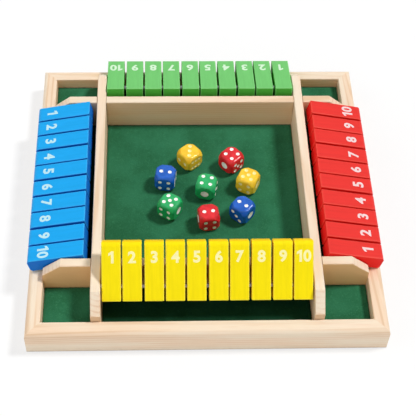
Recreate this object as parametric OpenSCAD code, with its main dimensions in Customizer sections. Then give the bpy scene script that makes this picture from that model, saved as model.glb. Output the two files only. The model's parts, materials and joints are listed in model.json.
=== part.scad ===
// Four-player shut the box game: a square wooden board with ten flip-over number tiles on
// each side and a felt-lined dice tray in the middle.
// The origin is on the ground under the middle of the board. +X is to the right, +Y runs
// from the yellow player's side to the far side, and +Z is up. All sizes are in millimetres.

/* [Frame] */
// Outside width of the square frame
board_w = 220; // [214:1:240]
// Width of a rail, seen from above
rail_w = 9.3; // [8:0.1:12]
// Height of a rail
rail_h = 19.3; // [18:0.1:21]
// Rounding along a rail's outer top edge
rail_round = 3.5; // [1:0.5:4]
// Easing of a rail's other long edges
rail_ease = 0.8; // [0.4:0.1:1.2]

/* [Base panel and felt] */
// Thickness of the base panel
panel_t = 3; // [2:0.5:3.5]
// Height of the base panel's underside above the ground
panel_z = 7.8; // [5:0.1:9]
// Depth of the groove in the rails that holds the panel
groove_d = 4; // [3:0.5:5]
// Gap between the panel's edge and the bottom of the groove
panel_gap = 0.4; // [0.1:0.1:1]
// Thickness of the felt
felt_t = 1.1; // [0.8:0.1:1.6]
// Gap between a piece of felt and the wood around it
felt_gap = 0.4; // [0.2:0.1:1]

/* [Dividers] */
// Width of the bay between a divider and its rail
bay_w = 30.1; // [29:0.1:33]
// Thickness of a divider
divider_t = 6.1; // [5:0.1:8]
// Height of the dividers' top above the ground
divider_top = 34.1; // [33:0.1:38]
// Length of full height that a divider keeps past the one that it crosses
shoulder = 18.7; // [17:0.1:24]
// Height of a divider's tapered end above the ground
divider_end_z = 24.5; // [21:0.5:28]
// Easing of the dividers' top edges
divider_ease = 0.8; // [0.4:0.1:1.2]
// Gap on each side of a divider in the notch of the one that it crosses
lap_gap = 0.25; // [0.1:0.05:0.5]

/* [Rods] */
// Diameter of a rod
rod_d = 3; // [2.5:0.1:3.5]
// Distance from a divider's outer face to the axis of the rod beside it
rod_out = 11.9; // [11.5:0.1:13]
// Depth of a rod's axis below the dividers' top
rod_down = 4.4; // [3.5:0.1:5]
// Depth of the blind hole that holds the end of a rod
socket_d = 3.6; // [2.5:0.1:4.5]
// Gap all round the end of a rod in its blind hole
socket_gap = 0.02; // [0.01:0.01:0.05]

/* [Number tiles] */
// Number tiles in a row
tiles_in_row = 10; // [9:1:12]
// Thickness of a tile
tile_t = 10.5; // [9:0.1:11]
// Gap between neighbouring tiles
tile_gap = 1.25; // [0.8:0.05:1.6]
// Most that a tile strays along its rod from its even place
tile_stray = 0.22; // [0:0.02:0.3]
// Length of a tile from the rod's axis to its near end
tile_tail = 8.4; // [7.5:0.1:9.5]
// Distance from a rail's outer face to the line where a lying tile rests on its top
seat_in = 3.7; // [3.6:0.1:6]
// Rounding of a tile's free end, seen from the side
nose_round = 3.3; // [2:0.1:4]
// Rounding of a tile's free end, seen from above
tip_round = 0.9; // [0.7:0.1:3]
// Easing of a tile's other edges
tile_ease = 0.7; // [0.3:0.1:1]
// Gap all round the rod in a tile's bore
bore_gap = 0.08; // [0.04:0.01:0.1]
// Gap that is left between a tile and what it leans on
rest_gap = 0.15; // [0.1:0.05:0.3]

/* [Dice] */
// Width of a die across its flat faces
die_w = 13.3; // [12:0.1:14]
// Rounding of a die's edges
die_round = 2; // [1:0.1:3]
// Distance from a die's centre to its rounded corners
die_corner = 9; // [8.5:0.05:9.3]
// Distance of a pip from the middle lines of its face
pip_step = 2.85; // [2.6:0.05:3]
// Radius of a pip's rim
pip_r = 1.25; // [0.9:0.05:1.3]
// Depth of a pip
pip_depth = 0.5; // [0.3:0.05:0.7]
// Radius of the large single pip's rim
one_r = 2.6; // [1.6:0.1:3]
// Gap between a die and the felt under it
die_gap = 0.05; // [0.02:0.01:0.1]

/* [Hidden] */
$fn = 48;
cut = 1; // how far a cutting shape runs past what it cuts

// Colours
pine = "#EBD2B4";
felt_green = "#2C6B48";
panel_wood = "#D9BE94";
steel = "#B9BCC0";

// Heights and distances from the middle of the board
outer = board_w / 2;
rail_in = outer - rail_w;
divider_out = rail_in - bay_w;
divider_in = divider_out - divider_t;
divider_mid = (divider_in + divider_out) / 2;
panel_top = panel_z + panel_t;
felt_top = panel_top + felt_t;
lap_z = (panel_top + divider_top) / 2;

// Rods, as distances from the middle of the board and above the ground
rod_y = divider_out + rod_out;
rod_z = divider_top - rod_down;

// A lying tile rests on the flat top of the rail with the lower rounding of its free end.
// The centre of that rounding, from the rod's axis, across the board and down:
seat_dy = outer - seat_in - rod_y;
seat_dz = rod_z - (rail_h + rest_gap + nose_round);
// The same along the tile and down from its middle plane, and the slope that joins the two
nose_down = tile_t / 2 - nose_round;
nose_along = sqrt(pow(seat_dy, 2) + pow(seat_dz, 2) - pow(nose_down, 2));
lie_tilt = atan2(seat_dz, seat_dy) - atan2(nose_down, nose_along);

// A shut tile leans on the eased top edge of its divider. From the rod's axis to the
// centre of that easing:
lean_dy = rod_out + divider_ease;
lean_dz = divider_top - divider_ease - rod_z;
// Slope of a shut tile, up towards its free end
lean_tilt = asin((tile_t / 2 + divider_ease + rest_gap) / norm([lean_dy, lean_dz]))
    + atan2(lean_dz, lean_dy);

// A tile's pitch, width, and length from the rod's axis to its free end
tile_pitch = 2 * divider_in / tiles_in_row;
tile_w = tile_pitch - tile_gap;
tile_head = nose_along + nose_round;

// The four rows: name, colour, turn about the middle of the board, and whether it is shut
ROWS = [
    ["yellow", "#F6DC16", 0, true],
    ["red", "#E8362F", 90, false],
    ["green", "#78CC72", 180, false],
    ["blue", "#2E9BEA", -90, false]
];

// The dice: name, colour, middle [x, y], and the tumble about X and the turn about Z that
// bring the face with two pips from the top to where it lies
DICE = [
    ["yellow_die_1", "#F0CC2E", [-8, 28.4], -90, 130],
    ["yellow_die_2", "#F0CC2E", [30.4, 7.3], 180, -26.5],
    ["red_die_1", "#CC2430", [20.1, 25.5], 90, -137],
    ["red_die_2", "#CC2430", [3, -22.6], 0, 188],
    ["green_die_1", "#34A860", [2.6, 2.9], 90, -103],
    ["green_die_2", "#34A860", [-21.8, -13.6], 180, -32],
    ["blue_die_1", "#1F52BE", [-24.4, 10.6], 0, 171],
    ["blue_die_2", "#1F52BE", [25.3, -16.6], 0, -40]
];

// The sides of the board, as turns about its middle
SIDES = [["front", 0], ["right", 90], ["back", 180], ["left", -90]];

function tile_name(row, number) = str(row[0], "_tile_", number);

// What a rounding of radius r takes off a corner that points the way of dir, drawn
// around the centre of the rounding
module corner_waste(r, dir) {
    difference() {
        translate(dir * (r + cut) / 2) square(r + cut, center = true);
        circle(r);
    }
}

// A bar along X from low to high, with its corners rounded at each end
module bar_outline(low, high, half, r_low, r_high) {
    difference() {
        translate([low, -half]) square([high - low, 2 * half]);
        for (side = [-1, 1]) {
            translate([low + r_low, side * (half - r_low)]) corner_waste(r_low, [-1, side]);
            translate([high - r_high, side * (half - r_high)]) corner_waste(r_high, [1, side]);
        }
    }
}

// Extrudes a section drawn in Y and Z along X, about the middle
module along_x(length) {
    rotate([90, 0, 90]) linear_extrude(height = length, center = true) children();
}

// Extrudes an outline drawn in X and Z along Y, about the middle
module along_y(length) {
    rotate([90, 0, 0]) linear_extrude(height = length, center = true) children();
}

// Section of the front rail in Y and Z: rounded outside, eased, and grooved for the panel
module rail_section() {
    difference() {
        translate([-outer, 0]) square([rail_w, rail_h]);
        translate([-outer + rail_round, rail_h - rail_round]) corner_waste(rail_round, [-1, 1]);
        translate([-rail_in - rail_ease, rail_h - rail_ease]) corner_waste(rail_ease, [1, 1]);
        translate([-outer + rail_ease, rail_ease]) corner_waste(rail_ease, [-1, -1]);
        translate([-rail_in - groove_d, panel_z]) square([groove_d + cut, panel_t]);
    }
}

// A rail, cut at 45 degrees at both ends
module rail(turn) {
    reach = outer + cut;
    near = rail_in - cut;
    color(pine) rotate([0, 0, turn]) intersection() {
        along_x(board_w) rail_section();
        linear_extrude(height = rail_h + cut)
            polygon([[-reach, -reach], [reach, -reach], [near, -near], [-near, -near]]);
    }
}

module base_panel() {
    width = 2 * (rail_in + groove_d - panel_gap);
    color(panel_wood) translate([0, 0, panel_z])
        linear_extrude(height = panel_t) square(width, center = true);
}

// Nine pieces of felt: the dice tray, four strips under the tiles and four corner pockets
module felt() {
    bands = [[-rail_in, -divider_out], [-divider_in, divider_in], [divider_out, rail_in]];
    color(felt_green) translate([0, 0, panel_top]) linear_extrude(height = felt_t)
        for (x = bands, y = bands)
            translate([x[0] + felt_gap, y[0] + felt_gap])
                square([x[1] - x[0] - 2 * felt_gap, y[1] - y[0] - 2 * felt_gap]);
}

// A bar along X with its two upper long edges eased and its top face in the plane z = 0
module eased_bar(length, depth) {
    inset = divider_t / 2 - divider_ease;
    along_x(length) difference() {
        translate([-divider_t / 2, -depth]) square([divider_t, depth]);
        for (side = [-1, 1])
            translate([side * inset, -divider_ease]) corner_waste(divider_ease, [side, 1]);
    }
}

// The front divider about its own middle plane, before its notches: full height as far as
// its shoulders, tapered beyond them, and with a blind hole for a rod near each end. A level
// bar gives its length and height. Two sloping ones, longer and deeper than the whole board,
// give its tapers.
module divider_blank() {
    ridge_x = divider_out + shoulder;
    slope = atan2(divider_top - divider_end_z, rail_in - ridge_x);
    difference() {
        translate([0, 0, divider_top]) intersection() {
            eased_bar(2 * rail_in, divider_top - panel_top);
            intersection_for (side = [-1, 1])
                translate([side * ridge_x, 0, 0]) rotate([0, side * slope, 0])
                    eased_bar(2 * board_w, board_w);
        }
        for (x = [-rod_y, rod_y])
            translate([x, divider_t / 2 - socket_d, rod_z]) rotate([-90, 0, 0])
                cylinder(d = rod_d + 2 * socket_gap, h = socket_d + cut);
    }
}

// A divider with its two notches. The front and back dividers are notched from above, and
// the left and right ones drop over them, so they are notched from below.
module divider(turn, notched_above) {
    notch_w = divider_t + 2 * lap_gap;
    low = notched_above ? lap_z : panel_top - cut;
    high = notched_above ? divider_top + cut : lap_z;
    color(pine) rotate([0, 0, turn]) translate([0, -divider_mid, 0]) difference() {
        divider_blank();
        for (x = [-divider_mid, divider_mid])
            translate([x, 0, (low + high) / 2])
                cube([notch_w, divider_t + 2 * cut, high - low], center = true);
    }
}

// Four rods, each pushed into the blind holes of two facing dividers
module tile_rods() {
    length = 2 * (divider_in + socket_d);
    color(steel) for (row = ROWS)
        rotate([0, 0, row[2]]) translate([0, -rod_y, rod_z])
            rotate([0, 90, 0]) cylinder(d = rod_d, h = length, center = true);
}

// A tile about the axis of its rod, lying level with its free end towards -Y
module tile() {
    difference() {
        intersection() {
            along_x(tile_w + 2 * cut)
                bar_outline(-tile_head, tile_tail, tile_t / 2, nose_round, tile_ease);
            linear_extrude(height = tile_t + 2 * cut, center = true) rotate(90)
                bar_outline(-tile_head, tile_tail, tile_w / 2, tip_round, tile_ease);
            along_y(2 * (tile_head + cut))
                bar_outline(-tile_w / 2, tile_w / 2, tile_t / 2, tile_ease, tile_ease);
        }
        rotate([0, 90, 0])
            cylinder(d = rod_d + 2 * bore_gap, h = tile_w + 2 * cut, center = true);
    }
}

// A tile on the rod of its row, lying outwards or shut over the divider. Tile 1 is at its
// player's left. Loose tiles don't lie quite evenly along a rod.
module row_tile(row, number) {
    even = (number - (tiles_in_row + 1) / 2) * tile_pitch;
    stray = tile_stray * sin(number * 137 + row[2]);
    tilt = row[3] ? lean_tilt - 180 : lie_tilt;
    color(row[1]) rotate([0, 0, row[2]]) translate([even + stray, -rod_y, rod_z])
        rotate([tilt, 0, 0]) tile();
}

// The recess of a pip in a face that looks along +Z, with its rim in the plane z = 0
module pip(rim_r) {
    ball_r = (pow(rim_r, 2) + pow(pip_depth, 2)) / (2 * pip_depth);
    translate([0, 0, ball_r - pip_depth]) sphere(ball_r);
}

// The pips of a face, which looks along +Z after the turn that the caller gives it
module pips(places, rim_r = pip_r) {
    for (place = places)
        translate([place[0] * pip_step, place[1] * pip_step, die_w / 2]) pip(rim_r);
}

// A die about its middle: two pips on top, three in front and one at the right, and
// opposite faces add up to seven
module die() {
    square_4 = [[-1, -1], [1, -1], [1, 1], [-1, 1]];
    difference() {
        intersection() {
            intersection_for (turn = [[0, 0, 0], [90, 0, 0], [0, 90, 0]])
                rotate(turn) linear_extrude(height = die_w, center = true)
                    bar_outline(-die_w / 2, die_w / 2, die_w / 2, die_round, die_round);
            sphere(die_corner);
        }
        pips([[-1, 0], [1, 0]]);
        rotate([180, 0, 0]) pips(concat(square_4, [[0, 0]]));
        rotate([90, 0, 0]) pips([[-1, 1], [0, 0], [1, -1]]);
        rotate([-90, 0, 0]) pips(square_4);
        rotate([0, 90, 0]) pips([[0, 0]], one_r);
        rotate([0, -90, 0]) pips(concat(square_4, [[0, -1], [0, 1]]));
    }
}

module placed_die(die_row) {
    color(die_row[1]) translate([die_row[2][0], die_row[2][1], felt_top + die_gap + die_w / 2])
        rotate([die_row[3], 0, die_row[4]]) die();
}

for (side = SIDES)
    rail(side[1]);
for (side = SIDES)
    divider(side[1], side[0] == "front" || side[0] == "back");
base_panel();
felt();
tile_rods();
for (row = ROWS)
    for (number = [1 : tiles_in_row])
        row_tile(row, number);
for (die_row = DICE)
    placed_die(die_row);
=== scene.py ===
# %% [markdown]
# # A four-player shut the box board
#
# The real thing is a square board of pale pine, with a felt-lined tray in the middle and a row
# of ten painted tiles on each side. Each tile turns on a steel rod, so that a player can flip it
# from lying outwards to shut. Eight plastic dice lie in the tray.
#
# Everything rigid already has its true shape, so this lesson adds what a shape can't hold: the
# pine's grain, soft felt, paint, printed numbers, the paint in the dice's pips, and light. We
# start from an empty scene and load the rigid pieces.

# %% Load the pieces
import json
import math
from collections import namedtuple

import bmesh
import bpy
from mathutils import Matrix, Vector, noise

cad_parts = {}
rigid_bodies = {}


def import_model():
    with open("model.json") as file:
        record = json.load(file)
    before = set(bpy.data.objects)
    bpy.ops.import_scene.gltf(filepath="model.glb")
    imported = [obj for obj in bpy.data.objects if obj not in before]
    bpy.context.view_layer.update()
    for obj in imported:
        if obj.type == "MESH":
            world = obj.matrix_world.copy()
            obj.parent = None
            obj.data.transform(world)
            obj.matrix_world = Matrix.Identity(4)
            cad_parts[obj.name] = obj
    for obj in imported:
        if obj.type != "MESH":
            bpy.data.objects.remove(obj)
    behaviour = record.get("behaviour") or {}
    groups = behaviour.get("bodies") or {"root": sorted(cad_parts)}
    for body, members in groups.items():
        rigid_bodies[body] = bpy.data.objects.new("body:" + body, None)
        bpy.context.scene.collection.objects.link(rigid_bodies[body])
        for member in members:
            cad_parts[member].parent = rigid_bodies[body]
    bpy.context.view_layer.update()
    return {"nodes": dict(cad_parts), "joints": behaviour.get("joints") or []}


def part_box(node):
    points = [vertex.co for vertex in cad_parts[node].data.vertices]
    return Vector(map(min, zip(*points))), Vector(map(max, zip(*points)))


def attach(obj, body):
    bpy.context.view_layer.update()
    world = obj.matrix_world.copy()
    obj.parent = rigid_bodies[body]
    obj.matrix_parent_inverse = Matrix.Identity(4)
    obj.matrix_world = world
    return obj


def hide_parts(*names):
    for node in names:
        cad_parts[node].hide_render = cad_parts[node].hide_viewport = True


for leftover in list(bpy.data.objects):
    bpy.data.objects.remove(leftover)
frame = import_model()
nodes = frame["nodes"]
MM = 0.001

# %% [markdown]
# ## The camera
#
# The photograph looks down on the board from the front, a little from the left. Its camera was
# worked out once from the edges of the board, in millimetres, and is written here as a place,
# three turns and a focal length in pixels of the 416 pixel picture. The board in that picture is
# small and stands high up, so the lens is made longer and shifted until the board fills most of
# the frame. A shift keeps the perspective as it was, where turning wouldn't.
#
# The turns are given one after another: a little to the right, down from the horizon, and a
# little about the line of sight. As matrices they can be multiplied in that order and read back
# as the three angles that Blender keeps.

# %% Place the camera
PICTURE = 416  # width and height of the picture, in pixels
photo_focal = 602.8  # pixels
photo_principal = Vector((204.0, 112.0))  # pixel that the photographed camera looks straight at
board_middle = Vector((211.7, 116.0))  # middle of the board in the photograph, in pixels
enlarged = 1.8  # how much larger the board is shown than in the photograph
camera_place = Vector((-30.15, -444.57, 579.10)) * MM
camera_yaw = math.radians(-3.19)  # to the right
camera_pitch = math.radians(52.10)  # below the horizon
camera_roll = math.radians(2.12)

camera_data = bpy.data.cameras.new("camera")
camera_data.sensor_width = 36
camera_data.lens = photo_focal * enlarged * camera_data.sensor_width / PICTURE
principal = (photo_principal - board_middle) * enlarged
camera_data.shift_x = -principal.x / PICTURE
camera_data.shift_y = principal.y / PICTURE
camera = bpy.data.objects.new("camera", camera_data)
camera.location = camera_place
aim = Matrix.Rotation(camera_yaw, 3, "Z") @ Matrix.Rotation(math.pi / 2 - camera_pitch, 3, "X")
camera.rotation_euler = (aim @ Matrix.Rotation(camera_roll, 3, "Z")).to_euler()
bpy.context.collection.objects.link(camera)
bpy.context.scene.camera = camera
print(f"lens {camera_data.lens:.1f} mm, shift {camera_data.shift_x:.3f}, {camera_data.shift_y:.3f}")

# %% [markdown]
# ## A short way to write nodes
#
# A material is a graph of nodes. In code each node takes three or four lines, which hides the
# idea, so one helper adds a node, sets its options and fills its inputs. An input is filled
# with a number, a colour or another node's output. The helpers after it are the few kinds of
# node that nearly every finish here needs.

# %% Helpers for nodes
def add(tree, kind, inputs=None, **options):
    node = tree.nodes.new("ShaderNode" + kind)
    for name, value in options.items():
        setattr(node, name, value)
    for name, value in (inputs or {}).items():
        if isinstance(value, bpy.types.NodeSocket):
            tree.links.new(value, node.inputs[name])
        else:
            node.inputs[name].default_value = value
    return node


def math_node(tree, operation, a, b=0.0, clamp=False):
    node = add(tree, "Math", {0: a, 1: b}, operation=operation, use_clamp=clamp)
    return node.outputs[0]


def mix_colours(tree, factor, first, second):
    node = tree.nodes.new("ShaderNodeMix")
    node.data_type = "RGBA"
    for socket, value in ((0, factor), (6, first), (7, second)):
        if isinstance(value, bpy.types.NodeSocket):
            tree.links.new(value, node.inputs[socket])
        elif socket == 0:
            node.inputs[socket].default_value = value
        else:
            node.inputs[socket].default_value = (*value, 1)
    return node.outputs[2]


def remap(tree, value, low, high, to_low=0.0, to_high=1.0):
    inputs = {"Value": value, "From Min": low, "From Max": high, "To Min": to_low, "To Max": to_high}
    return add(tree, "MapRange", inputs, interpolation_type="SMOOTHSTEP").outputs["Result"]


def cloudy(tree, space, scale=1.0, detail=2.0, distortion=0.0):
    inputs = {"Vector": space, "Scale": scale, "Detail": detail, "Distortion": distortion}
    return add(tree, "TexNoise", inputs).outputs["Fac"]


def board_space(tree):
    """Object coordinates, which are the board's own, because every piece sits at the origin."""
    return add(tree, "TexCoord").outputs["Object"]


def along(tree, direction):
    """How much the surface faces along a direction, from -1 to 1."""
    normal = add(tree, "TexCoord").outputs["Normal"]
    dot = add(tree, "VectorMath", {0: normal, 1: Vector(direction)}, operation="DOT_PRODUCT")
    return dot.outputs["Value"]


def new_finish(name, **shader_inputs):
    """A material with one principled shader, whose fixed inputs are given by name."""
    finish = bpy.data.materials.new(name)
    finish.use_nodes = True
    tree = finish.node_tree
    shader = tree.nodes["Principled BSDF"]
    for key, value in shader_inputs.items():
        shader.inputs[key.replace("_", " ")].default_value = value
    return finish, tree, shader


def roughen(tree, shader, height, strength, depth):
    bump = add(tree, "Bump", {"Height": height, "Strength": strength, "Distance": depth})
    tree.links.new(bump.outputs[0], shader.inputs["Normal"])


def paint(piece, finish):
    piece.data.materials.clear()
    piece.data.materials.append(finish)


# %% [markdown]
# ## How a new piece is finished
#
# Each new piece is modelled in a bmesh, Blender's mesh for editing, and written to a plain mesh
# when it is done. Its object stays at the origin, unturned and unscaled, and its place is in its
# mesh, as it is for the rigid pieces. So the same coordinates fit every finish on the board.

# %% Helpers for meshes
same_place = 0.001 * MM  # corners that are closer than this are one corner


def finished_mesh(bm, name):
    mesh = bpy.data.meshes.new(name)
    bm.to_mesh(mesh)
    bm.free()
    return mesh


def new_piece(mesh, finish):
    """An object at the origin, with its mesh's name and one finish."""
    piece = bpy.data.objects.new(mesh.name, mesh)
    bpy.context.collection.objects.link(piece)
    paint(piece, finish)
    return piece


# %% [markdown]
# ## Light and floor
#
# The photograph has a white ground and a soft light, as in a tent of white cloth. The cloth isn't
# equally bright: it glows most on the left and in front, and less behind, which shows in how
# pale each side of the wood is. A lamp high on the right adds the shadows: the right divider
# throws a band on the felt, and each die a short one to its left. A sun lamp has the same
# direction everywhere, and its angle sets how soft the shadows are.
#
# A bright patch of tent is the cosine between the ray and the patch's direction, raised to a
# power. The camera and reflections see plain white instead, and the floor is partly white by
# itself for the camera, so it only keeps a faint shadow. The level is plain: a colour renders
# about as it is written.

# %% Light the board
scene = bpy.context.scene
scene.view_settings.view_transform = "Standard"
Patch = namedtuple("Patch", "round_from_right up strength")
TENT = [  # degrees round from the right, degrees up from the ground, strength
    Patch(180, 30, 1.6), Patch(225, 30, 0.5), Patch(90, 30, 0.9), Patch(270, 15, 1.15),
]
PATCH_POWER = 6.0
lamp_level = 2.4
lamp_softness = math.radians(11)
lamp_from = Vector((0.58, 0.14, 0.90))  # from the board towards the lamp

world = bpy.data.worlds.new("light_tent")
scene.world = world
world.use_nodes = True
sky = world.node_tree
sky.nodes.clear()
ray = add(sky, "LightPath").outputs
seen = math_node(sky, "MAXIMUM", ray["Is Camera Ray"], ray["Is Glossy Ray"])
seen = math_node(sky, "MAXIMUM", seen, ray["Is Transmission Ray"])
direction = add(sky, "TexCoord").outputs["Generated"]
cloth = 0.0
for patch in TENT:
    round_angle, up_angle = math.radians(patch.round_from_right), math.radians(patch.up)
    flat = math.cos(up_angle)
    centre = (flat * math.cos(round_angle), flat * math.sin(round_angle), math.sin(up_angle))
    cosine = add(sky, "VectorMath", {0: direction, 1: centre}, operation="DOT_PRODUCT")
    glow = math_node(sky, "MAXIMUM", cosine.outputs["Value"], 0.0)
    glow = math_node(sky, "MULTIPLY", math_node(sky, "POWER", glow, PATCH_POWER), patch.strength)
    cloth = math_node(sky, "ADD", cloth, glow)
tent = add(sky, "Background", {"Color": (1, 1, 1, 1), "Strength": cloth}).outputs[0]
white = add(sky, "Background", {"Color": (1, 1, 1, 1), "Strength": 1.0}).outputs[0]
shown = add(sky, "MixShader", {0: seen, 1: tent, 2: white}).outputs[0]
add(sky, "OutputWorld", {"Surface": shown})

lamp_data = bpy.data.lights.new("lamp", "SUN")
lamp_data.energy = lamp_level
lamp_data.angle = lamp_softness
lamp = bpy.data.objects.new("lamp", lamp_data)
lamp.rotation_mode = "QUATERNION"
lamp.rotation_quaternion = lamp_from.to_track_quat("Z", "Y")
bpy.context.collection.objects.link(lamp)
print(f"{len(TENT)} bright patches of tent and a lamp of level {lamp_level}")

# %% Lay the floor
floor_reach = 3.0  # metres from the middle to an edge
floor_white = (0.92, 0.92, 0.92)
floor_share = 0.7  # share of the floor that is plain white to the camera

floor_finish = bpy.data.materials.new("floor_paper")
floor_finish.use_nodes = True
tree = floor_finish.node_tree
tree.nodes.clear()
matt = add(tree, "BsdfDiffuse", {"Color": (*floor_white, 1)}).outputs[0]
glow = add(tree, "Emission", {"Color": (1, 1, 1, 1), "Strength": 1.0}).outputs[0]
share = math_node(tree, "MULTIPLY", add(tree, "LightPath").outputs["Is Camera Ray"], floor_share)
paper = add(tree, "MixShader", {0: share, 1: matt, 2: glow}).outputs[0]
add(tree, "OutputMaterial", {"Surface": paper})

bm = bmesh.new()
bmesh.ops.create_grid(bm, x_segments=1, y_segments=1, size=floor_reach)
floor = new_piece(finished_mesh(bm, "floor"), floor_finish)
print(f"a floor of {2 * floor_reach:.0f} by {2 * floor_reach:.0f} m")

# %% [markdown]
# ## Coordinates that belong to a piece
#
# Grain has to run along each piece, whichever way it lies. Object coordinates are the same for
# the whole board, so a Mapping node moves them to the middle of the piece and turns them: X then
# runs along the grain. The Mapping node turns first and moves afterwards, so the place that it
# is given is the turned middle, taken away.

# %% Piece coordinates
def mapped(tree, space, shift, turn):
    inputs = {"Vector": space, "Location": shift, "Rotation": turn}
    return add(tree, "Mapping", inputs).outputs["Vector"]


def piece_space(tree, middle, axes):
    """Object coordinates, as seen from a piece's own middle along its own three axes."""
    turn = Matrix(axes)
    return mapped(tree, board_space(tree), -(turn @ middle), turn.to_euler())


def stretched(tree, space, scale, shift=(0, 0, 0)):
    inputs = {"Vector": space, "Scale": scale, "Location": shift}
    return add(tree, "Mapping", inputs).outputs["Vector"]


# %% [markdown]
# ## Pine
#
# Pine is pale, with a darker line where each summer's growth ended. A plank cut from a log shows
# those rings as nearly straight lines on its long faces and as arcs on its ends. So the pattern
# is made as it grows: rings about an axis that runs along the grain, some way outside the piece
# and slightly askew. A Wave texture makes the rings, and squeezing the space along the grain
# makes its wander long and slow. Finer noise, squeezed in the same way, gives fibres.
#
# End grain drinks more varnish, so faces that look along the grain are browner. The sides that
# face away from the top are painted browner, as painted shade, more on some pieces than others.
# The lower edges of the rails are painted grey, as a painted shadow where they touch the floor.
# Each piece is cut from its own place in the log: a cut says where the log's pith is beside it,
# how askew it was cut, where along the log it began, how warm it is, and its sides' painted shade.

# %% Grow the wood
PineCut = namedtuple("PineCut", "pith_y pith_z skew shift tone side")  # metres, radians, shares
RING_STEP = 2.1 * MM
WAVE_PERIOD = math.pi / 10  # of Blender's wave texture, at a scale of 1
along_squeeze = 0.12  # of the rings, so that they wander slowly along the grain
broad_scale = (9, 110, 110)  # cycles in a metre, along the grain and across it
fibre_scale = (60, 2200, 2200)


def growth(tree, space, cut):
    """The late wood, the broad shades and the fibres of one cut, each about 0 to 1."""
    askew = mapped(tree, space, (cut.shift, cut.pith_y, cut.pith_z), (0, cut.skew * 0.6, cut.skew))
    rings = add(tree, "TexWave", {
        "Vector": stretched(tree, askew, (along_squeeze, 1, 1)),
        "Scale": WAVE_PERIOD / RING_STEP,
        "Distortion": 5.0,
        "Detail": 2.0,
        "Detail Scale": 0.35,
    }, wave_type="RINGS", rings_direction="X").outputs["Fac"]
    broad = cloudy(tree, stretched(tree, askew, broad_scale), detail=3.0)
    fibre = cloudy(tree, stretched(tree, askew, fibre_scale), detail=3.0)
    return remap(tree, rings, 0.55, 1.0), broad, fibre


# %% Make pine
cream = (0.86, 0.725, 0.560)
peach = (0.85, 0.63, 0.445)
late_wood = (0.70, 0.44, 0.24)
end_brown = (0.58, 0.34, 0.17)
# painted shade: the colour of the sides that face away from the top
side_shade_brown = (0.80, 0.48, 0.21)
# painted contact shadow: the colour of the lowest millimetre of the rails, near the floor
contact_shadow_grey = (0.22, 0.17, 0.15)
contact_shadow_top = 1.3 * MM  # the painted contact shadow starts here
contact_shadow_low = 0.3 * MM  # and is at its darkest here


def pine_colour(tree, wood, axes, cut):
    late, broad, fibre = wood
    warm = math_node(tree, "ADD", remap(tree, broad, 0.3, 0.7, -0.25, 0.8), cut.tone, clamp=True)
    colour = mix_colours(tree, warm, cream, peach)
    late_share = math_node(tree, "MULTIPLY", late, remap(tree, broad, 0.35, 0.7, 0.12, 0.60))
    colour = mix_colours(tree, late_share, colour, late_wood)
    colour = mix_colours(tree, remap(tree, fibre, 0.52, 0.78, 0.0, 0.35), colour, late_wood)
    end_grain = math_node(tree, "ABSOLUTE", along(tree, axes[0]))
    colour = mix_colours(tree, remap(tree, end_grain, 0.70, 1.0, 0.0, 0.55), colour, end_brown)
    # painted shade: sides that face away from the top are browner, by each cut's share
    side_shade_mask = math_node(tree, "MULTIPLY", remap(tree, along(tree, (0, 0, 1)), 0.75, 0.1), cut.side)
    colour = mix_colours(tree, side_shade_mask, colour, side_shade_brown)
    # painted contact shadow: darker grey towards the bottom edge, where the board meets the floor
    height = add(tree, "SeparateXYZ", {0: board_space(tree)}).outputs["Z"]
    contact_shadow_mask = remap(tree, height, contact_shadow_top, contact_shadow_low, 0.0, 0.75)
    return mix_colours(tree, contact_shadow_mask, colour, contact_shadow_grey)


def pine(name, middle, axes, cut):
    finish, tree, shader = new_finish(name)
    wood = growth(tree, piece_space(tree, middle, axes), cut)
    late, _, fibre = wood
    tree.links.new(pine_colour(tree, wood, axes, cut), shader.inputs["Base Color"])
    tree.links.new(remap(tree, fibre, 0.3, 0.8, 0.42, 0.62), shader.inputs["Roughness"])
    grain = math_node(tree, "ADD", math_node(tree, "MULTIPLY", fibre, 0.7), late)
    roughen(tree, shader, grain, 0.35, 0.06 * MM)
    return finish


# %% Give each rail and divider its own cut of pine
# the last value of each cut is how much painted shade its sides get
CUTS = {
    "front_rail": PineCut(0.021, 0.050, 0.020, 0.31, 0.15, 0.0),
    "right_rail": PineCut(-0.030, 0.034, -0.035, 1.17, 0.10, 0.15),
    "back_rail": PineCut(0.012, -0.047, 0.030, 2.43, 0.15, 0.4),
    "left_rail": PineCut(0.034, 0.038, 0.025, 3.05, 0.0, 0.1),
    "front_divider": PineCut(0.004, 0.040, 0.030, 4.72, 0.25, 0.95),
    "right_divider": PineCut(-0.006, 0.052, -0.020, 5.36, 0.10, 0.2),
    "back_divider": PineCut(0.010, 0.046, 0.025, 6.58, 0.20, 0.45),
    "left_divider": PineCut(0.008, -0.050, 0.018, 7.91, -0.10, 0.25),
}
ALONG_X = ((1, 0, 0), (0, 1, 0), (0, 0, 1))
ALONG_Y = ((0, 1, 0), (-1, 0, 0), (0, 0, 1))


def middle_of(node):
    low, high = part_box(node)
    return (low + high) / 2


def grain_axes(node):
    low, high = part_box(node)
    size = high - low
    return ALONG_X if size.x > size.y else ALONG_Y


for node, cut in CUTS.items():
    paint(nodes[node], pine(f"pine_{node}", middle_of(node), grain_axes(node), cut))
print(f"{len(CUTS)} pieces of pine")

# %% [markdown]
# ## The bottom panel
#
# The panel only shows from below. It is thin plywood, whose face veneer is peeled off the log,
# so its figure is broad and flowing. That is noise squeezed along the grain and read through a
# sine, which draws contour lines through it.

# %% Make plywood
veneer = (0.78, 0.60, 0.40)
veneer_dark = (0.60, 0.41, 0.24)
contour_lines = 70.0  # how closely the contours follow each other

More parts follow.
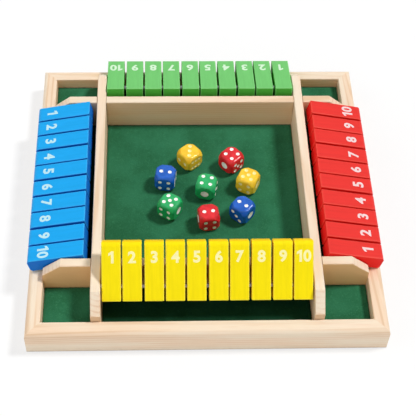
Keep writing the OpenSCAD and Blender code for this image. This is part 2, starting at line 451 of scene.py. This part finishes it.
finish, tree, shader = new_finish("plywood_panel", Roughness=0.6)
space = piece_space(tree, middle_of("base_panel"), ALONG_X)
flow = cloudy(tree, stretched(tree, space, (3, 16, 16)))
contour = math_node(tree, "SINE", math_node(tree, "MULTIPLY", flow, contour_lines))
pores = cloudy(tree, stretched(tree, space, (70, 1800, 1800)))
colour = mix_colours(tree, remap(tree, contour, -0.4, 1.0, 0.0, 0.45), veneer, veneer_dark)
colour = mix_colours(tree, remap(tree, pores, 0.55, 0.75, 0.0, 0.6), colour, veneer_dark)
tree.links.new(colour, shader.inputs["Base Color"])
roughen(tree, shader, pores, 0.4, 0.08 * MM)
paint(nodes["base_panel"], finish)
print("plywood on the bottom panel")

# %% [markdown]
# ## Felt
#
# Nine pieces of felt are glued to the panel. Felt has no weave: it is a mat of short fibres, so
# it looks mottled at every scale, and its fibres catch light at a glancing angle, which is what
# sheen does. The pieces in the four tile bays are painted darker and duller, as painted shade
# from the tiles above them. Glued felt isn't flat either. It has slow, shallow waves, and its
# cut edges dip.
#
# The places of the nine pieces come from the rigid model: its islands are measured one by one.
# Each piece is a grid for the underside, raised into a closed mat, with its top moved by noise.

# %% Measure the felt's places
Pad = namedtuple("Pad", "name low high")


def island_boxes(mesh):
    """The lowest and highest corners of each separate solid in a mesh."""
    bm = bmesh.new()
    bm.from_mesh(mesh)
    bmesh.ops.remove_doubles(bm, verts=bm.verts, dist=same_place)
    left = set(bm.verts)
    boxes = []
    while left:
        island = {left.pop()}
        edge = list(island)
        while edge:
            linked = {e.other_vert(v) for v in edge for e in v.link_edges} - island
            island |= linked
            edge = list(linked)
        left -= island
        low = Vector(min(v.co[i] for v in island) for i in range(3))
        high = Vector(max(v.co[i] for v in island) for i in range(3))
        boxes.append((low, high))
    bm.free()
    return sorted(boxes, key=lambda box: (round(box[0].y, 4), round(box[0].x, 4)))


PAD_NAMES = [  # from the front to the back, and from the left to the right
    "front_left_pocket_felt", "front_bay_felt", "front_right_pocket_felt",
    "left_bay_felt", "tray_felt", "right_bay_felt",
    "back_left_pocket_felt", "back_bay_felt", "back_right_pocket_felt",
]
pads = [Pad(name, *box) for name, box in zip(PAD_NAMES, island_boxes(nodes["felt"].data))]

# %% Make felt
felt_dark = (0.014, 0.114, 0.046)
felt_mid = (0.025, 0.170, 0.079)
felt_light = (0.045, 0.235, 0.116)
felt_sheen = (0.45, 0.8, 0.55)
felt_shine = 0.15  # of specular and of sheen
bay_shade_tone = 0.3  # of the bays' felt beside that of the tray and pockets: painted shade from the tiles


# a tone below 1 is painted shade: it darkens the colour and dims the shine
def felt_finish(name, tone):
    finish, tree, shader = new_finish(name, Roughness=0.95, Specular_IOR_Level=felt_shine * tone,
                                      Sheen_Weight=felt_shine * tone, Sheen_Roughness=0.5)
    shader.inputs["Sheen Tint"].default_value = (*felt_sheen, 1)
    dark, mid, light = (tuple(tone * c for c in felt) for felt in (felt_dark, felt_mid, felt_light))
    space = board_space(tree)
    cloud = cloudy(tree, space, 55.0, 4.0)
    fleck = cloudy(tree, space, 900.0, 4.0, 1.5)
    hair = cloudy(tree, space, 2600.0, 2.0, 3.0)
    colour = mix_colours(tree, remap(tree, cloud, 0.3, 0.7), dark, mid)
    colour = mix_colours(tree, remap(tree, fleck, 0.45, 0.8, 0.0, 0.75), colour, light)
    colour = mix_colours(tree, remap(tree, hair, 0.55, 0.25, 0.0, 0.5), colour, dark)
    tree.links.new(colour, shader.inputs["Base Color"])
    height = math_node(tree, "ADD", fleck, math_node(tree, "MULTIPLY", hair, 0.5))
    roughen(tree, shader, height, 0.6, 0.25 * MM)
    return finish


open_felt = felt_finish("green_felt", 1.0)
bay_felt = felt_finish("bay_felt", bay_shade_tone)
print("felt in two tones")

# %% Model each piece of felt
cell = 2.0 * MM
wave_height = 0.22 * MM
wave_length = 34 * MM
edge_dip = 0.35 * MM


def felt_mat(pad):
    size = pad.high - pad.low
    bm = bmesh.new()
    columns, lines = (max(4, round(s / cell)) for s in size.xy)
    bmesh.ops.create_grid(bm, x_segments=columns, y_segments=lines, size=0.5)
    bmesh.ops.scale(bm, verts=bm.verts, vec=(size.x, size.y, 1))
    middle = (pad.low + pad.high) / 2
    bmesh.ops.translate(bm, verts=bm.verts, vec=(middle.x, middle.y, pad.low.z))
    raised = bmesh.ops.extrude_face_region(bm, geom=bm.faces[:], use_keep_orig=True)["geom"]
    for top in (v for v in raised if isinstance(v, bmesh.types.BMVert)):
        inside = min(*(top.co - pad.low).xy, *(pad.high - top.co).xy)
        wave = noise.noise(top.co / wave_length + Vector((0, 0, 3.7)))
        dip = edge_dip * max(0.0, 1 - inside / cell)
        top.co.z = pad.high.z - wave_height * (0.5 + 0.5 * wave) - dip
    bmesh.ops.recalc_face_normals(bm, faces=bm.faces)
    for face in bm.faces:
        face.smooth = True
    return finished_mesh(bm, pad.name)


for pad in pads:
    # the bays, under their tiles, get the felt with painted shade
    piece = new_piece(felt_mat(pad), bay_felt if "bay" in pad.name else open_felt)
    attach(piece, "board")
    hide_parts("felt")
print(f"{len(pads)} pieces of felt, the widest wave {wave_height / MM:.2f} mm high")

# %% [markdown]
# ## The steel rods
#
# The rods are drawn steel, which leaves fine scratches along them. They lie both ways, so plain
# fine noise stands in for scratches: only short stretches show, in the gaps between tiles.

# %% Make steel
steel_grey = (0.30, 0.30, 0.31)

finish, tree, shader = new_finish("drawn_steel", Metallic=1.0)
shader.inputs["Base Color"].default_value = (*steel_grey, 1)
scratch = cloudy(tree, board_space(tree), 1500.0, 3.0)
tree.links.new(remap(tree, scratch, 0.3, 0.7, 0.25, 0.45), shader.inputs["Roughness"])
paint(nodes["tile_rods"], finish)
print("steel on the rods")

# %% [markdown]
# ## Which way a tile lies
#
# Paint and numbers need to know each tile's own axes. They are read from the rigid model. The
# joint gives the rod: one point on it and its direction. Of the faces beside the rod, the two
# broad ones have the most area, so adding up area by direction finds the way that they face.
# The third axis runs from the rod to the free end.

# %% Read the tiles
Tile = namedtuple("Tile", "name colour number middle across out face half tip")
ROW_COLOURS = ("yellow", "red", "green", "blue")
joints = {joint["child"]: joint for joint in frame["joints"]}


def broad_side(mesh, rod):
    """The direction that the largest flat sides along the rod face."""
    totals = {}
    for side in mesh.polygons:
        if abs(side.normal.dot(rod)) < 0.01:
            key = tuple(round(c, 2) for c in side.normal)
            totals[key] = totals.get(key, Vector()) + side.normal * side.area
    best = max(totals.values(), key=lambda total: total.length).normalized()
    return best if best.z > 0 else -best


def read_tile(name):
    colour, _, number = name.split("_")
    rod = Vector(joints[name]["axis"])
    on_rod = Vector(joints[name]["pos_m"])
    mesh = nodes[name].data
    face = broad_side(mesh, rod)
    out = rod.cross(face)
    reach = [(v.co - on_rod).dot(out) for v in mesh.vertices]
    if max(reach) < -min(reach):
        out = -out
    across = out.cross(face)
    axes = (across, out, face)
    spans = [[v.co.dot(axis) for v in mesh.vertices] for axis in axes]
    middle = sum((axis * (min(s) + max(s)) / 2 for axis, s in zip(axes, spans)), Vector())
    half = Vector((max(s) - min(s)) / 2 for s in spans)
    return Tile(name, colour, int(number), middle, across, out, face, half, middle + out * half.y)


tiles = [read_tile(name) for name in nodes if "_tile_" in name and name.split("_")[0] in ROW_COLOURS]
sample = tiles[0]
print(f"{len(tiles)} tiles of {sample.half.y * 2 / MM:.1f} x {sample.half.x * 2 / MM:.1f} mm")

# %% [markdown]
# ## Paint on the tiles
#
# The tiles are wood under satin paint. Paint hides the colour of the wood but not its surface,
# so a faint grain stays in the bump and in the tone. The narrow sides are painted deeper than
# the broad faces, as painted shade, and the edges are painted lighter, as a painted highlight.
# A point is near an edge when it is near two faces at once: of the three distances to the
# faces, that is the second largest nearness, found as the sum less the largest and the
# smallest.

# %% Make tile paint
# face is the paint's colour; side is the narrow sides with painted shade; edge is a painted
# highlight
Paint = namedtuple("Paint", "face side edge")
PAINTS = {
    "yellow": Paint((0.98, 0.79, 0.001), (0.94, 0.62, 0.002), (0.99, 0.90, 0.10)),
    "red": Paint((0.81, 0.036, 0.029), (0.90, 0.014, 0.012), (0.97, 0.13, 0.09)),
    "green": Paint((0.170, 0.57, 0.160), (0.085, 0.50, 0.055), (0.30, 0.72, 0.27)),
    "blue": Paint((0.010, 0.38, 0.85), (0.004, 0.17, 0.66), (0.07, 0.50, 0.95)),
}
paint_shine = 0.12
deep_share = 0.85  # of the face's colour, where the paint has sunk in
# width of the painted highlight along the tiles' edges
edge_highlight_width = 0.9 * MM
next_tile = 0.37  # how far the grain moves on from one tile to the next


def near_edge(tree, space, half, width):
    parts = add(tree, "SeparateXYZ", {0: space}).outputs
    near = []
    for part, reach in zip(parts, half):
        far_out = math_node(tree, "ABSOLUTE", part)
        near.append(remap(tree, far_out, reach - width, reach))
    total = math_node(tree, "ADD", math_node(tree, "ADD", near[0], near[1]), near[2])
    largest = math_node(tree, "MAXIMUM", math_node(tree, "MAXIMUM", near[0], near[1]), near[2])
    smallest = math_node(tree, "MINIMUM", math_node(tree, "MINIMUM", near[0], near[1]), near[2])
    total = math_node(tree, "SUBTRACT", total, largest)
    return math_node(tree, "SUBTRACT", total, smallest)


def tile_paint(tile):
    coat = PAINTS[tile.colour]
    finish, tree, shader = new_finish(f"{tile.name}_paint", Specular_IOR_Level=paint_shine)
    space = piece_space(tree, tile.middle, (tile.across, tile.out, tile.face))
    shift = (tile.number * next_tile, 0, 0)
    grain = cloudy(tree, stretched(tree, space, (900, 45, 900), shift), detail=4.0)
    cloud = cloudy(tree, stretched(tree, space, (160, 60, 160), shift))
    deep = tuple(c * deep_share for c in coat.face)
    colour = mix_colours(tree, remap(tree, grain, 0.35, 0.75, 0.0, 0.45), coat.face, deep)
    colour = mix_colours(tree, remap(tree, cloud, 0.35, 0.75, 0.0, 0.35), colour, deep)
    # painted shade: the narrow sides take the deeper side colour
    on_side = remap(tree, math_node(tree, "ABSOLUTE", along(tree, tile.face)), 0.8, 0.3)
    colour = mix_colours(tree, on_side, colour, coat.side)
    # painted highlight: the edges are lighter
    edge = near_edge(tree, space, tile.half, edge_highlight_width)
    colour = mix_colours(tree, math_node(tree, "MULTIPLY", edge, 0.6), colour, coat.edge)
    tree.links.new(colour, shader.inputs["Base Color"])
    tree.links.new(remap(tree, cloud, 0.3, 0.7, 0.38, 0.55), shader.inputs["Roughness"])
    roughen(tree, shader, grain, 0.3, 0.10 * MM)
    return finish


for tile in tiles:
    paint(nodes[tile.name], tile_paint(tile))
print(f"{len(tiles)} tiles painted in {len(PAINTS)} colours")

# %% [markdown]
# ## Numbers on the tiles
#
# Each tile has its number on both broad faces, near the free end, so that it reads when the tile
# lies and when it is shut. The digits are bold and plain. Blender's own font has such digits, and
# a small offset makes their strokes wider, but its 1 is a bare stroke. The printed one has a flag,
# so it is drawn as an outline of seven points and filled like the others. The shut row's numbers
# are a millimetre nearer to the free end than those of the rows that lie.
#
# Text and outlines are both flat curves. Each is made a mesh first and placed afterwards: beside
# the digit before it, then flat on the tile, thin as a coat of paint and part of it sunk in.

# %% Draw the digits
ONE_OUTLINE = [(0.22, 0), (0.44, 0), (0.44, 1), (0.28, 1), (0, 0.82), (0, 0.61), (0.22, 0.73)]
digit_bold = 0.035  # how far a stroke's outline moves out, on text of size 1
digit_gap = 0.10  # of a digit's height


def outline_curve(outline):
    curve = bpy.data.curves.new("outline", "CURVE")
    curve.dimensions = "2D"
    curve.fill_mode = "BOTH"
    line = curve.splines.new("POLY")
    line.points.add(len(outline) - 1)
    for point, (x, y) in zip(line.points, outline):
        point.co = (x, y, 0, 1)
    line.use_cyclic_u = True
    return curve


def text_curve(body):
    text = bpy.data.curves.new("text", "FONT")
    text.body = body
    text.resolution_u = 5
    text.offset = digit_bold
    return text


def digit_mesh(digit):
    """A digit as a flat closed mesh, one unit high and thick, from the corner x = y = 0."""
    curve = outline_curve(ONE_OUTLINE) if digit == "1" else text_curve(digit)
    curve.extrude = 0.5
    holder = bpy.data.objects.new("digit", curve)
    bpy.context.collection.objects.link(holder)
    bpy.context.view_layer.update()
    mesh = bpy.data.meshes.new_from_object(holder)
    bpy.data.objects.remove(holder)
    low, high = (Vector(f(v.co[i] for v in mesh.vertices) for i in range(3)) for f in (min, max))
    height = high.y - low.y
    mesh.transform(Matrix.Translation((-low.x, -low.y, 0)))
    mesh.transform(Matrix.Diagonal((1 / height, 1 / height, 1, 1)))
    return mesh


DIGITS = {digit: digit_mesh(digit) for digit in "0123456789"}
print(f"{len(DIGITS)} digits, {sum(len(mesh.polygons) for mesh in DIGITS.values())} faces")

# %% Mix the number paint
NUMBER_PAINT = {
    "yellow": (0.98, 0.92, 0.45),
    "red": (0.84, 0.64, 0.64),
    "green": (0.64, 0.85, 0.62),
    "blue": (0.50, 0.77, 0.83),
}


def number_finish(row):
    finish, tree, shader = new_finish(f"{row}_row_number_paint", Roughness=0.5,
                                      Specular_IOR_Level=0.2)
    worn = cloudy(tree, board_space(tree), 1400.0, 3.0)
    full, under = NUMBER_PAINT[row], PAINTS[row].face
    thin = tuple(0.55 * f + 0.45 * u for f, u in zip(full, under))
    colour = mix_colours(tree, remap(tree, worn, 0.55, 0.75, 0.0, 0.6), full, thin)
    tree.links.new(colour, shader.inputs["Base Color"])
    return finish


number_finishes = {colour: number_finish(colour) for colour in ROW_COLOURS}
print(f"{len(number_finishes)} number paints")

# %% Lay the numbers on the tiles
digit_height = 7.3 * MM
shut_number_in = 9.5 * MM  # from the free end to the middle of a number
lying_number_in = 10.6 * MM
print_depth = 0.16 * MM
print_proud = 0.04 * MM
weld = 0.002 * MM


def number_print(number):
    """The digits of a number in a row, one unit high, about the middle of the row."""
    bm = bmesh.new()
    for digit in str(number):
        start = max((v.co.x + digit_gap for v in bm.verts), default=0.0)
        mesh = DIGITS[digit].copy()
        mesh.transform(Matrix.Translation((start, 0, 0)))
        bm.from_mesh(mesh)
    width = max(v.co.x for v in bm.verts)
    bmesh.ops.translate(bm, verts=bm.verts, vec=(-width / 2, -0.5, 0))
    return finished_mesh(bm, f"number_{number}")


def is_shut(tile):
    """Whether a tile leans inwards, away from its rail."""
    x, y, _ = joints[tile.name]["pos_m"]
    return tile.out.dot(Vector((x, y, 0))) < 0


def on_tile(mesh, tile, face, up):
    """A copy of the digits, laid on one face of a tile with their tops towards up."""
    right = up.cross(face)
    turn = Matrix((right, up, face)).transposed().to_4x4()
    inward = tile.out * (shut_number_in if is_shut(tile) else lying_number_in)
    flat = tile.tip - inward + face * (tile.half.z + print_proud - print_depth / 2)
    size = Matrix.Diagonal((digit_height, digit_height, print_depth, 1))
    laid = mesh.copy()
    laid.transform(Matrix.Translation(flat) @ turn @ size)
    return laid


prints = {number: number_print(number) for number in {tile.number for tile in tiles}}
for tile in tiles:
    up = tile.out if is_shut(tile) else -tile.out
    bm = bmesh.new()
    bm.from_mesh(on_tile(prints[tile.number], tile, tile.face, up))
    bm.from_mesh(on_tile(prints[tile.number], tile, -tile.face, -up))
    bmesh.ops.remove_doubles(bm, verts=bm.verts, dist=weld)
    bmesh.ops.recalc_face_normals(bm, faces=bm.faces)
    piece = new_piece(finished_mesh(bm, f"{tile.name}_numbers"), number_finishes[tile.colour])
    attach(piece, tile.name)
print(f"{len(tiles)} tiles numbered on both faces")

# %% [markdown]
# ## Dice
#
# Dice are moulded in glossy plastic, and pale paint is dropped into their pips. The dimples are
# already in the rigid model. To find them, the six flat sides of a die are taken as the six
# directions with the most area. A face that lies just below one of those sides, well away from
# the rounded edges, belongs to a dimple. The paint is a copy of those faces, raised by a hair
# and given a thickness.

# %% Make plastic and pip paint
DIE_PLASTIC = {
    "yellow": (0.96, 0.54, 0.022),
    "red": (0.66, 0.010, 0.018),
    "green": (0.012, 0.38, 0.11),
    "blue": (0.003, 0.095, 0.48),
}
pip_white = (0.97, 0.97, 0.93)
PIP_PAINT = {"yellow": (0.98, 0.84, 0.34), "red": pip_white, "green": pip_white, "blue": pip_white}


def die_plastic(colour):
    finish, tree, shader = new_finish(f"{colour}_die_plastic", Roughness=0.16, Coat_Weight=0.15,
                                      Coat_Roughness=0.05, Specular_IOR_Level=0.3,
                                      Subsurface_Weight=0.08)
    shader.inputs["Subsurface Radius"].default_value = (0.002, 0.0015, 0.001)
    swirl = cloudy(tree, board_space(tree), 140.0, 2.0, 1.2)
    lighter = tuple(min(1.0, c * 1.25 + 0.01) for c in DIE_PLASTIC[colour])
    swirled = mix_colours(tree, remap(tree, swirl, 0.3, 0.75), DIE_PLASTIC[colour], lighter)
    tree.links.new(swirled, shader.inputs["Base Color"])
    return finish


def pip_finish(colour):
    finish, tree, shader = new_finish(f"{colour}_die_pip_paint", Roughness=0.35)
    fresh = PIP_PAINT[colour]
    dull = tuple(0.8 * c for c in fresh)
    speck = cloudy(tree, board_space(tree), 1200.0)
    speckled = mix_colours(tree, remap(tree, speck, 0.5, 0.8, 0.0, 0.3), fresh, dull)
    tree.links.new(speckled, shader.inputs["Base Color"])
    return finish


plastics = {colour: die_plastic(colour) for colour in DIE_PLASTIC}
pip_finishes = {colour: pip_finish(colour) for colour in DIE_PLASTIC}
print(f"{len(plastics)} plastics and their pip paints")

# %% Model the pips
paint_lift = 0.03 * MM
paint_sunk = 0.12 * MM
shallowest = 0.01 * MM
flat_share = 0.34  # of a die's width, from its middle lines to where its edges start to round
round_share = 0.43  # of a die's width, from the middle of a side to its cut corners
deepest = 1.0 * MM


def flat_sides(bm):
    totals = {}
    for face in bm.faces:
        key = tuple(round(c, 2) for c in face.normal)
        totals.setdefault(key, []).append(face)
    groups = sorted(totals.values(), key=lambda group: -sum(f.calc_area() for f in group))[:6]
    return [(group[0].normal.copy(), group[0].calc_center_median()) for group in groups]


def in_dimple(face, sides, middle, width):
    centre = face.calc_center_median()
    for normal, on_side in sides:
        depth = (on_side - centre).dot(normal)
        if not shallowest < depth < deepest:
            continue
        beside = (centre - middle) - normal * (centre - middle).dot(normal)
        widest = max(abs(beside.dot(other)) for other, _ in sides)
        if widest < flat_share * width and beside.length < round_share * width:
            return True
    return False


def pip_paint_mesh(name):
    bm = bmesh.new()
    bm.from_mesh(nodes[name].data)
    bmesh.ops.remove_doubles(bm, verts=bm.verts, dist=same_place)
    bm.normal_update()
    sides = flat_sides(bm)
    middle = middle_of(name)
    width = 2 * (sides[0][1] - middle).dot(sides[0][0])
    waste = [face for face in bm.faces if not in_dimple(face, sides, middle, width)]
    bmesh.ops.delete(bm, geom=waste, context="FACES")
    bm.normal_update()
    for vert in bm.verts:
        vert.co += vert.normal * paint_lift
    bmesh.ops.solidify(bm, geom=bm.faces[:], thickness=paint_sunk)
    bmesh.ops.recalc_face_normals(bm, faces=bm.faces)
    for face in bm.faces:
        face.smooth = True
    return finished_mesh(bm, f"{name}_pips")


for name in [node for node in nodes if "_die_" in node]:
    colour = name.split("_")[0]
    paint(nodes[name], plastics[colour])
    mesh = pip_paint_mesh(name)
    piece = new_piece(mesh, pip_finishes[colour])
    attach(piece, name)
    print(f"{name}: {len(island_boxes(mesh))} pips")
